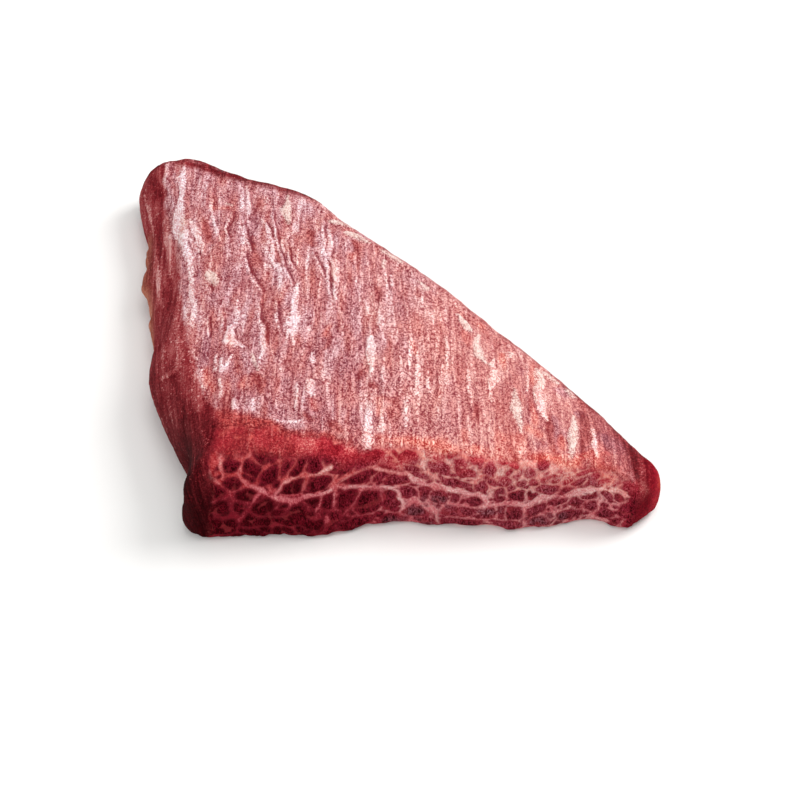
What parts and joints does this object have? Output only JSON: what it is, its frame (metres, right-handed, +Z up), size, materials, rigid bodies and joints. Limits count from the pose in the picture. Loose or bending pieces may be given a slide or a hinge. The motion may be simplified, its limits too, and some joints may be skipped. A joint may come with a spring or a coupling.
{
  "type": "raw pork secreto",
  "caption": "Flat, roughly triangular raw cut of marbled pork, thick at one end and tapering to a narrow tip, with one straight face cut across the grain.",
  "frame": {"origin": "on the flat underside, at the middle of the part's bounding box", "axes": "+X along the length, from the thick end to the narrow tip; +Z up through the thickness; the cut face looks towards -Y"},
  "size_m": [0.1824, 0.169, 0.034],
  "materials": {
    "meat": "moist raw meat, red to pink, with streaks and seams of pale fat"
  },
  "bodies": {
    "root": {"secreto": "meat"}
  },
  "joints": []
}
